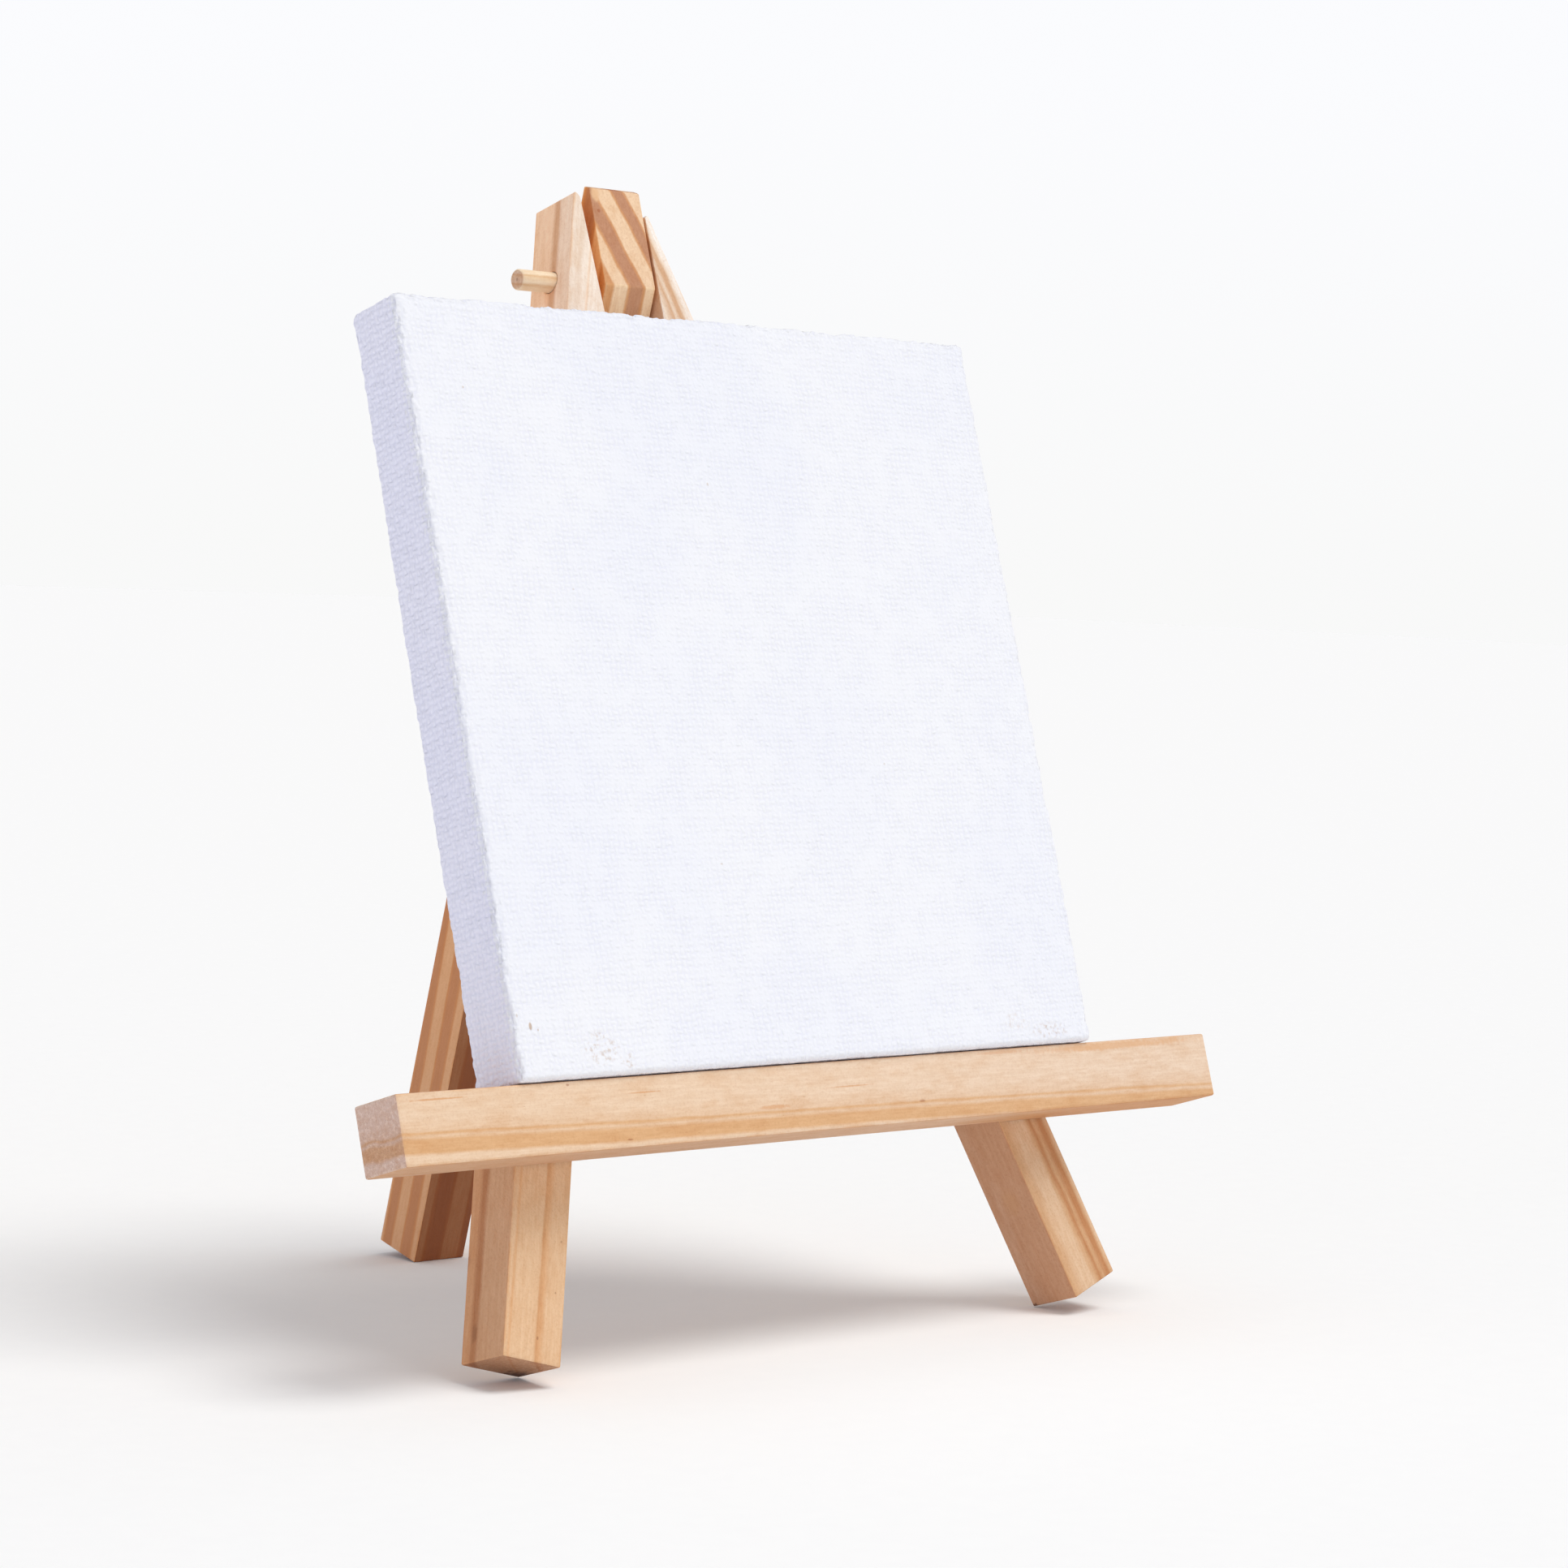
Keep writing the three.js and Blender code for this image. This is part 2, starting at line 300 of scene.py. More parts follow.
# what the colour of steel is multiplied by where it is dull
DULL_TONE = (0.72, 0.68, 0.62)
# where the primer is a little bluer, and the colour of its specks
CLOUD_TONE = (0.955, 0.965, 1.0)
FLECK_COLOUR = srgb(190, 158, 128)


@dataclass(frozen=True)
class Band:
    """A growth band: where it lies across the stick, in millimetres, and its colour."""

    at: float
    colour: Colour


def bands_at(*rows: tuple[float, Colour], shift: float = 0.0) -> tuple[Band, ...]:
    """Growth bands from pairs of place and colour, all moved back by a shift."""
    return tuple(Band(at - shift, colour) for at, colour in rows)


@dataclass(frozen=True)
class Mark:
    """A small mark in the wood, such as a knot, a dash of resin or a dirty corner.

    The place and the sizes are across, depth and along the stick, in millimetres.
    """

    place: Triple
    size: Triple
    colour: Colour
    strength: float = 0.7


@dataclass(frozen=True)
class PaintedLight:
    """What the wood's colour is multiplied by on each pair of faces at each end of a stick: painted light and
    shade, for how the light falls on each face and how it fades along the stick.
    """

    low_front: Triple = (1.0, 1.0, 1.0)
    low_side: Triple = (1.0, 1.0, 1.0)
    high_front: Triple = (1.0, 1.0, 1.0)
    high_side: Triple = (1.0, 1.0, 1.0)
    low_at: float = 30.0
    high_at: float = 130.0


@dataclass(frozen=True)
class PineFinish:
    """Raw planed pine, with growth bands that run through the whole stick.

    The band coordinate of a place is across + slant * depth + drift * along, in millimetres; the
    slant grows by the twist toward the stick's high end.
    """

    name: str
    axes: Axes
    bands: tuple[Band, ...]
    slant: float
    drift: float = 0.0
    twist: float = 0.0
    waver: float = 0.5
    saw_marks: float = 0.0
    half_width: float = STICK_W / 2
    half_depth: float = STICK_D / 2
    # painted light and shade on the faces, from end to end
    painted_light: PaintedLight = PaintedLight()
    bevel_tone: Triple = (1.0, 0.96, 0.95)
    end_tone: Triple = (0.70, 0.62, 0.60)
    calm: float = 0.0
    speckle: float = 0.30
    marks: tuple[Mark, ...] = ()
    roughness: float = 0.66

    def growth(self, bench: NodeBench, place: Socket) -> Socket:
        """The banded colour before any wear.

        Args:
            bench: The material's bench.
            place: The place in the stick's axes.

        Returns:
            The colour of the growth bands.
        """
        slow = bench.noise(place, (0.30, 0.30, 0.016), 1.0)
        quick = bench.noise(place, (1.1, 1.1, 0.22), 3.0, 0.6)
        band_at = bench.math("ADD", bench.dot(place, (1.0, self.slant, self.drift)),
                             bench.math("MULTIPLY_ADD", slow, 2 * self.waver, -self.waver))
        band_at = bench.math("ADD", band_at,
                             bench.math("MULTIPLY_ADD", quick, 0.7 * self.waver, -0.35 * self.waver))
        if self.twist:
            split = bench.node("SeparateXYZ", {0: place})
            behind = bench.math("ADD", split.outputs[1], self.half_depth)
            high_up = bench.smooth(split.outputs[2], self.painted_light.low_at, self.painted_light.high_at, 0.0, self.twist)
            band_at = bench.math("MULTIPLY_ADD", behind, high_up, band_at)
        low, high = self.bands[0].at, self.bands[-1].at
        share = bench.node("MapRange", {0: band_at, 1: low, 2: high}).outputs[0]
        return bench.ramp(share, [((band.at - low) / (high - low), band.colour) for band in self.bands])

    def make(self) -> bpy.types.Material:
        """Builds the material.

        Returns:
            The finished wood material.
        """
        bench = MaterialBench(self.name)
        place = bench.place(self.axes)
        split = bench.node("SeparateXYZ", {0: place})
        normal = bench.node("TexCoord").outputs["Normal"]
        along_face, side_face = (bench.math("ABSOLUTE", bench.dot(normal, tuple(way)))
                                 for way in (self.axes.along, self.axes.across))
        # soft fibres, blotches, mottle, a fine speckle of pores and short dashes
        fibre = bench.noise(place, (2.6, 2.6, 0.16), 4.0, 0.62)
        blotch = bench.noise(place, (0.55, 0.55, 0.20), 4.0, 0.62)
        mottle = bench.noise(place, (1.7, 1.7, 0.75), 4.0, 0.7)
        fine = bench.noise(place, 3.1, 2.0, 0.6)
        dash = bench.smooth(bench.noise(place, (5.0, 5.0, 0.8), 1.0), 0.72, 0.79)
        colour = self.growth(bench, place)
        colour = bench.mix(bench.smooth(fibre, 0.36, 0.68), bench.toned(colour, 1.0, FIBRE_TONE), colour)
        for share, tone in ((bench.smooth(blotch, 0.44, 0.72, 0.0, 0.75), BLOTCH_TONE),
                            (bench.smooth(mottle, 0.36, 0.58, 1.0, 0.0), MOTTLE_DEEP),
                            (bench.smooth(mottle, 0.50, 0.72), MOTTLE_PALE),
                            (bench.smooth(fine, 0.50, 0.66, 0.0, self.speckle), PORE_TONE),
                            (bench.math("MULTIPLY", dash, 0.5), DASH_TONE)):
            colour = bench.toned(colour, share, tone)

        # painted light and shade: paler or darker from one end to the other, and from face to face, for how the
        # light falls
        painted_light = self.painted_light
        high = bench.smooth(split.outputs[2], painted_light.low_at, painted_light.high_at)
        if self.calm:
            middling = self.bands[len(self.bands) // 2].colour
            colour = bench.mix(bench.smooth(high, 0.0, 1.0, self.calm, 0.0), colour, middling)
        fronts = bench.mix(high, (*painted_light.low_front, 1), (*painted_light.high_front, 1))
        sides = bench.mix(high, (*painted_light.low_side, 1), (*painted_light.high_side, 1))
        colour = bench.mix(1.0, colour, bench.mix(bench.smooth(side_face, 0.6, 0.95), fronts, sides),
                           Blend.MULTIPLY)

        # cut across the fibres: a bevel is a little deeper in colour, an end is dark and pitted
        end = bench.smooth(along_face, 0.75, 0.9)
        bevel = bench.math("MULTIPLY", bench.smooth(along_face, 0.35, 0.5),
                           bench.smooth(side_face, 0.1, 0.4, 1.0, 0.0))
        pits = bench.smooth(bench.noise(place, 1.9, 4.0, 0.72), 0.40, 0.62)
        for share, tone in ((bevel, self.bevel_tone), (end, self.end_tone),
                            (bench.math("MULTIPLY", end, bench.math("SUBTRACT", 1.0, pits)), PIT_TONE)):
            colour = bench.toned(colour, share, tone)
        for mark in self.marks:
            away = bench.math("ADD", bench.away(place, mark.place, mark.size),
                              bench.math("MULTIPLY_ADD", bench.noise(place, 1.6), 0.9, -0.45))
            colour = bench.mix(bench.smooth(away, 0.35, 1.0, mark.strength, 0.0), colour, mark.colour)

        # worn corners hold a little more colour
        inset, back = (bench.math("SUBTRACT", half, bench.math("ABSOLUTE", split.outputs[axis]))
                       for axis, half in enumerate((self.half_width, self.half_depth)))
        corner = bench.math("MULTIPLY", bench.smooth(bench.math("MAXIMUM", inset, back), 0.10, 0.42, 0.55, 0.0),
                            bench.smooth(bench.noise(place, (0.3, 0.3, 0.3), 3.0), 0.35, 0.65))

        grain = bench.math("MULTIPLY_ADD", fibre, 0.5, bench.math("MULTIPLY", dash, -0.3))
        grain = bench.math("MULTIPLY_ADD", fine, 0.45, grain)
        grain = bench.math("ADD", grain, bench.math("MULTIPLY", bench.math("MULTIPLY", pits, end), 1.4))
        if self.saw_marks:
            turned = bench.node("VectorRotate", {"Vector": place, "Axis": (0.707, 0.707, 0), "Angle": SAW_TURN},
                                rotation_type="AXIS_ANGLE")
            scratch = bench.noise(turned.outputs[0], (2.6, 2.6, 0.22))
            grain = bench.math("MULTIPLY_ADD", scratch, self.saw_marks, grain)
        return bench.finished({
            "Base Color": bench.toned(colour, corner, CORNER_TONE), "Normal": bench.bump(0.45, 0.13, grain),
            "Roughness": bench.smooth(fibre, 0.3, 0.8, self.roughness + 0.1, self.roughness - 0.06),
            "Specular IOR Level": 0.3})


@dataclass(frozen=True)
class SteelFinish:
    """Bright steel wire with faint drawing lines and a little dulling."""

    name: str
    colour: Colour
    roughness: float

    def make(self) -> bpy.types.Material:
        """Builds the material.

        Returns:
            The finished steel material.
        """
        bench = MaterialBench(self.name)
        place = bench.stretch(bench.node("TexCoord").outputs["Object"], (1 / MM,) * 3)
        cloud = bench.noise(place, 1.3, 3.0, 0.6)
        dull = bench.toned(self.colour, 1.0, DULL_TONE)
        return bench.finished({
            "Base Color": bench.mix(bench.smooth(cloud, 0.45, 0.7), self.colour, dull), "Metallic": 1.0,
            "Roughness": bench.smooth(cloud, 0.3, 0.8, self.roughness, self.roughness + 0.2),
            "Normal": bench.bump(0.2, 0.02, bench.noise(place, (9.0, 9.0, 1.5)))})


@dataclass(frozen=True)
class Fleck:
    """A small tan or brown mark in the primed cloth, in the canvas's millimetres."""

    x: float
    y: float
    wide: float
    tall: float
    strength: float
    soaked: bool = False


@dataclass(frozen=True)
class CottonFinish:
    """Plain-weave cotton: thick white primer nearly fills the weave on the front, less on the sides."""

    name: str
    axes: Axes
    colour: Colour
    # the pit colour and the two pit strengths paint shade into the weave's pits, and the side tint paints the
    # cool shade of the sides
    pit_shade_colour: Colour
    front_weave: float
    side_weave: float
    front_pit_shade: float = 0.45
    side_pit_shade: float = 0.6
    side_shade_tint: Colour = (0.99, 0.98, 1.05, 1.0)
    half_side: float = 50.0
    shoulder: float = 8.98
    pitch: float = 0.86
    relief: float = 0.16
    flecks: tuple[Fleck, ...] = ()
    roughness: float = 0.88

    def weave(self, bench: NodeBench, first: Socket, second: Socket, place: Socket) -> Socket:
        """Height of a plain weave of uneven threads.

        Args:
            bench: The material's bench.
            first: Place across the warp, in millimetres.
            second: Place across the weft, in millimetres.
            place: The place in the canvas's axes.

        Returns:
            Height from 0, in the pits, to about 1, on the crossings.
        """
        turn = math.pi / self.pitch
        warp = bench.math("SINE", bench.math("MULTIPLY", first, turn))
        weft = bench.math("SINE", bench.math("MULTIPLY", second, turn))
        over = bench.math("MULTIPLY", warp, weft)
        spun = bench.noise(place, 1.0, 2.0)
        threads = []
        for thread, sign, least in ((warp, 1.0, 0.25), (weft, -1.0, 1.75)):
            height = bench.math("MULTIPLY", bench.math("ABSOLUTE", thread),
                                bench.math("MULTIPLY_ADD", over, 0.5 * sign, 0.5))
            threads.append(bench.math("MULTIPLY", height, bench.math("MULTIPLY_ADD", spun, 1.5 * sign, least)))
        return bench.math("SMOOTH_MAX", *threads, 0.3)

    def make(self) -> bpy.types.Material:
        """Builds the material.

        Returns:
            The finished cloth material.
        """
        bench = MaterialBench(self.name)
        place = bench.place(self.axes)
        drift = bench.node("TexNoise", {"Vector": place, "Scale": 0.35, "Detail": 1.0}).outputs[1]
        centred = bench.node("VectorMath", {0: drift, 1: (0.5, 0.5, 0.5)}, operation="SUBTRACT").outputs[0]
        moved = bench.node("VectorMath", {0: centred, 1: (0.8, 0.8, 0.8), 2: place},
                           operation="MULTIPLY_ADD").outputs[0]
        part = bench.node("SeparateXYZ", {0: moved})
        here = bench.node("SeparateXYZ", {0: place})
        # on the sides the weave runs on round the edge: the way down a side is added to the place across it
        from_middle = [bench.math("SUBTRACT", here.outputs[axis], self.half_side) for axis in (0, 1)]
        reach = [bench.math("ABSOLUTE", value) for value in from_middle]
        drop = bench.math("MAXIMUM", bench.math("SUBTRACT", self.shoulder, here.outputs[2]), 0.0)
        sideways = bench.math("GREATER_THAN", reach[0], reach[1])
        upright = bench.math("SUBTRACT", 1.0, sideways)
        places = [bench.math("MULTIPLY_ADD", bench.math("MULTIPLY", drop, share), bench.math("SIGN", value),
                             part.outputs[axis])
                  for axis, (share, value) in enumerate(zip((sideways, upright), from_middle))]
        weave = self.weave(bench, places[0], places[1], place)
        patchy = bench.noise(place, 0.30, 3.0, 0.6)
        on_front = bench.smooth(here.outputs[2], self.shoulder - 0.12, self.shoulder + 0.03)
        # primer fills the weave nearly level on the front, and only softens it on the sides
        fill = bench.math("MULTIPLY", bench.smooth(patchy, 0.32, 0.68, 0.22, 0.58), on_front)
        weave = bench.math("SMOOTH_MAX", weave, fill, 0.2)
        depth = bench.smooth(on_front, 0.0, 1.0, self.side_weave, self.front_weave)
        grit = bench.noise(place, 2.4, 3.0, 0.65)
        height = bench.math("MULTIPLY_ADD", weave, depth, bench.math("MULTIPLY", grit, 0.3))
        height = bench.math("MULTIPLY_ADD", patchy, 0.3, height)

        # painted shade: the side's cool tint and its deeper shade in the weave's pits end at a ragged line on the
        # rounded edge, where the front's colour begins
        ragged = bench.math("MULTIPLY_ADD", bench.math("SUBTRACT", weave, 0.45), 1.3, here.outputs[2])
        past_edge = bench.smooth(ragged, self.shoulder - 1.2, self.shoulder - 0.2)
        dark = bench.smooth(past_edge, 0.0, 1.0, self.side_pit_shade, self.front_pit_shade)
        pit_shade = bench.math("MULTIPLY", bench.smooth(weave, 0.0, 0.62, 1.0, 0.0), dark)
        shaded_side_colour = tuple(share * tint for share, tint in zip(self.colour, self.side_shade_tint))
        colour = bench.mix(pit_shade, bench.mix(past_edge, shaded_side_colour, self.colour), self.pit_shade_colour)
        cloud = bench.noise(place, 0.035, 2.0)
        colour = bench.toned(colour, bench.smooth(cloud, 0.4, 0.65, 0.0, 0.5), CLOUD_TONE)
        smudge = bench.smooth(bench.noise(place, 1.9, 1.0), 0.45, 0.80)
        for fleck in self.flecks:
            away = bench.away(place, (fleck.x, fleck.y, 0), (fleck.wide, fleck.tall, math.inf))
            mark = bench.smooth(away, 0.5, 1.0, fleck.strength, 0.0)
            if fleck.soaked:
                mark = bench.math("MULTIPLY", mark, smudge)
            colour = bench.mix(mark, colour, FLECK_COLOUR)
        return bench.finished({
            "Base Color": colour, "Roughness": self.roughness, "Specular IOR Level": 0.22, "Sheen Weight": 0.06,
            "Normal": bench.bump(1.0, self.relief, height)})


def ring_faces(rings: int, count: int) -> list[tuple[int, ...]]:
    """Faces that join each ring of so many points to the next."""
    return [(ring * count + step, (ring + 1) * count + step, (ring + 1) * count + (step + 1) % count,
             ring * count + (step + 1) % count) for ring in range(rings - 1) for step in range(count)]


def dress(node: str, material: bpy.types.Material) -> bpy.types.Object:
    """Gives a CAD node its material.

    Args:
        node: The node's name.
        material: Its material.

    Returns:
        The node's object.
    """
    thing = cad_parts[node]
    thing.data.materials.clear()
    thing.data.materials.append(material)
    return thing


def add_object(name: str, data: bpy.types.ID) -> bpy.types.Object:
    """Makes an object and links it to the scene.

    Args:
        name: The object's name.
        data: Its mesh, camera or light.

    Returns:
        The object.
    """
    thing = bpy.data.objects.new(name, data)
    bpy.context.scene.collection.objects.link(thing)
    return thing


def smooth_piece(name: str, points: list, faces: list, closed: bool) -> bpy.types.Object:
    """Makes a smooth object from points and faces, without loose points.

    Args:
        name: The object's name.
        points: Vertices in the row frame, in metres.
        faces: Faces as tuples of vertex numbers.
        closed: Whether it is a closed body, whose coinciding points are merged.

    Returns:
        The new object, linked to the scene.
    """
    mesh = bpy.data.meshes.new(name)
    mesh.from_pydata([tuple(point) for point in points], [], faces)
    work = bmesh.new()
    work.from_mesh(mesh)
    if closed:
        bmesh.ops.remove_doubles(work, verts=work.verts, dist=MERGE_M)
        bmesh.ops.recalc_face_normals(work, faces=work.faces)
    bmesh.ops.delete(work, geom=[point for point in work.verts if not point.link_faces], context="VERTS")
    for face in work.faces:
        face.smooth = True
    work.to_mesh(mesh)
    work.free()
    return add_object(name, mesh)


def ease_edges(thing: bpy.types.Object, width: float) -> None:
    """Rounds a flat-sided CAD piece's corners with modifiers.

    Args:
        thing: The CAD object.
        width: Width of the rounding, in millimetres.
    """
    weld = thing.modifiers.new("weld", "WELD")
    weld.merge_threshold = MERGE_M
    flat = thing.modifiers.new("faces", "DECIMATE")
    flat.decimate_type = "DISSOLVE"
    flat.angle_limit = math.radians(0.5)
    ease = thing.modifiers.new("ease", "BEVEL")
    ease.width = width * MM
    ease.segments = 2
    ease.limit_method = "ANGLE"
    ease.angle_limit = math.radians(28)
    ease.use_clamp_overlap = False


@dataclass
class FrontLegs:
    """The two splayed front legs."""

    plane: EaselPlane
    left_splay: float = math.radians(15.8)
    right_splay: float = math.radians(19.3)
    left_foot_x: float = -50.3
    right_foot_x: float = 49.1
    foot_low_y: float = -33.7
    edge: float = 0.22

    def axes(self, foot_x: float, splay: float) -> Axes:
        """One leg's axes, with the origin at the foot's middle.

        Args:
            foot_x: The foot's middle, in millimetres to the right.
            splay: How far the leg's top leans inward, in radians.

        Returns:
            Axes with across to the right, depth to the back and along up the leg.
        """
        turn = math.copysign(splay, foot_x)
        along = self.plane.direction(-math.sin(turn), math.cos(turn), 0.0)
        across = self.plane.direction(math.cos(turn), math.sin(turn), 0.0)
        foot_y = self.foot_low_y + STICK_W / 2 * math.sin(splay)
        return Axes(self.plane.point(foot_x, foot_y, -STICK_D / 2), across, -self.plane.out, along)

    def left_finish(self) -> PineFinish:
        """Pale pine with one narrow brown band that turns the corner.

        Returns:
            The left leg's finish.
        """
        light, tan, orange = srgb(240, 210, 174), srgb(232, 199, 162), srgb(234, 192, 148)
        brown, painted_foot_shade, dark = srgb(206, 156, 112), srgb(78, 44, 32), srgb(140, 92, 60)
        bands = bands_at((-11, orange), (-7.4, orange), (-6.7, brown), (-6.1, brown), (-5.4, tan), (-1.0, tan),
                         (0.1, light), (0.5, orange), (0.8, light), (4.3, light), (4.6, srgb(224, 178, 132)),
                         (5.1, orange), (5.8, light), (12, light))
        # the first mark is painted shade: the foot's end darkened where it stands on the floor
        marks = tuple(Mark(*row) for row in (
            ((4.4, 4.2, -0.2), (4.6, 4.6, 0.9), painted_foot_shade, 0.9), ((-4.4, 1.9, 3.6), (0.4, 0.7, 1.5), dark, 0.5),
            ((-4.4, 4.1, 13.0), (0.4, 0.5, 1.4), dark, 0.3), ((0.6, -4.2, 3.0), (0.2, 0.4, 0.3), dark, 0.5),
            ((2.9, -4.2, 9.0), (0.18, 0.4, 0.2), dark, 0.5), ((3.4, -4.2, 15.5), (0.2, 0.4, 0.2), dark, 0.4)))
        # painted light and shade: darker low down, most on the side faces, and paler high up
        painted_light = PaintedLight((0.93, 0.85, 0.80), (0.82, 0.67, 0.60), (1.14, 1.36, 1.80), (1.27, 1.33, 1.55))
        return PineFinish("pine_front_left", self.axes(self.left_foot_x, self.left_splay), bands, -1.0, -0.017,
                          waver=0.22, saw_marks=1.6, painted_light=painted_light, marks=marks)

    def right_finish(self) -> PineFinish:
        """Pale pine with a blotchy orange band beside its outer corner.

        Returns:
            The right leg's finish.
        """
        light, mid, brown = srgb(240, 210, 176), srgb(228, 188, 146), srgb(208, 152, 104)
        bands = bands_at((-8, mid), (-4.2, mid), (-2.8, light), (-0.8, light), (0.2, mid), (1.0, brown),
                         (1.6, mid), (2.3, brown), (3.0, brown), (3.5, mid), (4.0, light), (9, light))
        # painted light and shade: darker low down, most on the side faces, and paler high up on the front
        painted_light = PaintedLight((0.90, 0.85, 0.83), (0.76, 0.65, 0.67), (1.19, 1.52, 2.12), (1.0, 0.95, 0.95))
        # the first mark is painted shade at the foot's inner back corner, where it stands on the floor
        marks = (Mark((-4.4, 4.2, 0.0), (0.9, 1.5, 0.6), srgb(84, 48, 34), 0.85),
                 Mark((-4.4, 0.0, 15.0), (0.4, 2.0, 2.6), srgb(200, 150, 106), 0.4))
        return PineFinish("pine_front_right", self.axes(self.right_foot_x, self.right_splay), bands, 0.12, 0.004,
                          waver=1.15, saw_marks=0.6, painted_light=painted_light, speckle=0.4, marks=marks)

    def build(self) -> None:
        """Dresses both legs."""
        for node, finish in (("front_leg_left", self.left_finish()), ("front_leg_right", self.right_finish())):
            ease_edges(dress(node, finish.make()), self.edge)
        LOG.info("front legs dressed")


@dataclass
class RearLeg:
    """The rear leg, with its bevelled top."""

    plane: EaselPlane
    slant: float = 1.27
    edge: float = 0.2

    def axes(self) -> Axes:
        """The leg's axes.

        Returns:
            Axes with the origin at the dowel: across to the right, depth to the back, along up the leg.
        """
        along = self.plane.direction(0.0, math.cos(OPENING), math.sin(OPENING))
        front = self.plane.direction(0.0, -math.sin(OPENING), math.cos(OPENING))
        return Axes(self.plane.point(JOINT_X, JOINT_Y, -STICK_D / 2), RIGHT, -front, along)

    def finish(self) -> PineFinish:
        """Strongly banded pine; its bands slant, so the bevel shows wide stripes.

        Returns:
            The rear leg's finish.
        """
        light, tan = srgb(246, 212, 174), srgb(232, 190, 146)
        brown, rim = srgb(199, 145, 110), srgb(218, 158, 106)
        bands = bands_at((-6, tan), (-3.2, light), (-1.6, brown), (-0.2, tan), (0.6, rim), (1.3, rim),
                         (1.7, light), (3.6, light), (4.0, rim), (4.5, brown), (6.4, brown), (6.9, rim),
                         (7.2, light), (9.6, light), (10.0, rim), (10.4, brown), (11.9, brown), (12.3, rim),
                         (12.6, light), (14.6, light), (15.2, brown), (17, tan),
                         shift=STICK_W / 2 + self.slant * STICK_D / 2)
        knot = Mark((-3.4, 1.35, 10.1), (0.35, 0.7, 0.35), srgb(170, 100, 62), 0.75)
        clear = Mark((-3.55, 2.7, 12.2), (0.9, 1.3, 1.7), srgb(235, 192, 148), 0.9)
        # painted shade: the front face is much darker low down, in the shade behind the canvas; the high end is
        # tinted for the light there
        painted_light = PaintedLight((0.46, 0.30, 0.22), (0.96, 0.86, 0.79), (1.08, 1.14, 1.16), (1.15, 0.92, 0.62),
                      -120.0, -12.0)
        return PineFinish("pine_rear", self.axes(), bands, self.slant, -0.018, -0.37, waver=0.3, painted_light=painted_light,
                          speckle=0.4, calm=0.45, bevel_tone=(0.93, 0.90, 0.93), end_tone=(0.92, 0.86, 0.84),
                          marks=(clear, knot))

    def build(self) -> None:
        """Dresses the rear leg."""
        ease_edges(dress("rear_leg", self.finish().make()), self.edge)
        LOG.info("rear leg dressed")


@dataclass
class Ledge:
    """The bar across the front legs."""

    plane: EaselPlane
    edge: float = 0.28

    def axes(self) -> Axes:
        """Axes with the origin at the bar's middle: across is down the front, along is to the right."""
        centre = self.plane.point(0.0, -STICK_W / 2, GAP + STICK_D / 2)
        return Axes(centre, -self.plane.up, -self.plane.out, RIGHT)

    def finish(self) -> PineFinish:
        """Pale pine with an orange lower band, a thin line near its top, and painted shade on its top and
        underside.

        Returns:
            The ledge's finish.
        """
        light, mid, orange = srgb(240, 210, 180), srgb(235, 200, 166), srgb(226, 178, 130)
        line, dark, stain = srgb(214, 148, 90), srgb(158, 84, 44), srgb(222, 168, 118)
        bands = bands_at((-6.0, mid), (-4.1, light), (-0.4, light), (1.3, mid), (1.6, orange), (1.95, mid),
                         (2.4, orange), (3.7, orange), (4.2, light), (6.0, mid))
        marks = tuple(Mark((across, -STICK_D / 2, along), *rest) for across, along, *rest in (
            (-3.4, -65.0, (0.16, 0.6, 5.5), line, 0.65), (-2.3, -33.0, (0.13, 0.6, 4.0), line, 0.6),
            (-1.0, 2.0, (0.14, 0.6, 5.0), line, 0.5), (0.9, -12.0, (0.35, 0.6, 3.4), line, 0.5),
            (3.4, -36.5, (0.2, 0.5, 0.7), dark, 0.55), (-3.9, -45.0, (0.2, 0.4, 0.35), dark, 0.5),
            (1.7, 14.0, (0.25, 0.5, 0.7), dark, 0.45), (-3.9, 30.0, (0.3, 0.5, 6.0), line, 0.4),
            (-3.7, 52.0, (0.75, 0.9, 20.0), stain, 0.6)))
        # painted shade: the top and underside are darker, most at the left end; the front is a little cooler to
        # the right
        painted_light = PaintedLight((1.0, 1.02, 1.04), (0.80, 0.70, 0.64), (0.99, 1.04, 1.13), (0.88, 0.80, 0.76), -60.0, 60.0)
        return PineFinish("pine_ledge", self.axes(), bands, 0.02, -0.0156, waver=0.5, end_tone=(0.95, 1.00, 1.20),
                          painted_light=painted_light, marks=marks)

    def build(self) -> None:
        """Dresses the ledge and the brads behind it."""
        ease_edges(dress("canvas_ledge", self.finish().make()), self.edge)
        steel = SteelFinish("brad_steel", (0.55, 0.55, 0.56, 1.0), 0.34).make()
        for side in ("left", "right"):
            for number in (1, 2):
                dress(f"ledge_brad_{side}_{number}", steel)
        LOG.info("ledge and brads dressed")


